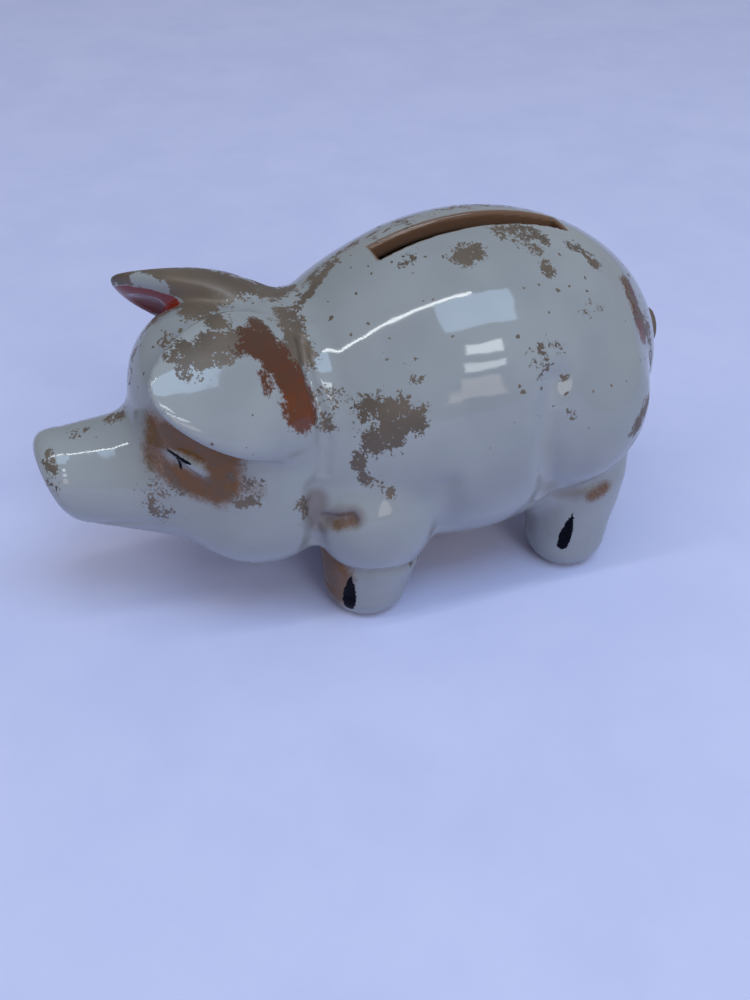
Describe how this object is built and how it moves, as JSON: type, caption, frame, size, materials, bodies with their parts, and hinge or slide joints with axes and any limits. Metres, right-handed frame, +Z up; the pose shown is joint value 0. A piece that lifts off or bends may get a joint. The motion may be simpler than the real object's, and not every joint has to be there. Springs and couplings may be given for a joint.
{
  "type": "piggy bank",
  "caption": "Small hollow glazed porcelain pig that holds coins, with a long coin slot in its back and a push-in cork in its belly.",
  "frame": {"origin": "on the floor, under the middle of the pig's bounding box", "axes": "+Z up, snout towards -Y, tail towards +Y, the pig's left side towards +X"},
  "size_m": [0.0486, 0.0995, 0.0566],
  "materials": {
    "glaze": "clear glossy glaze on white porcelain, with worn gilt and orange-brown airbrushing",
    "gilt": "worn dull gold lustre over the glaze",
    "cork": "fine-grained natural cork"
  },
  "bodies": {
    "pig": {"trunk": "glaze", "head": "glaze", "left_ear": "glaze", "right_ear": "glaze", "tail": "gilt", "front_left_foot": "glaze", "front_right_foot": "glaze", "rear_left_foot": "glaze", "rear_right_foot": "glaze"},
    "stopper": {"stopper": "cork"}
  },
  "joints": [
    {"name": "stopper_pull", "type": "slide", "parent": "pig", "child": "stopper", "axis": [0, 0, -1], "range_m": [0, 0.014]}
  ]
}
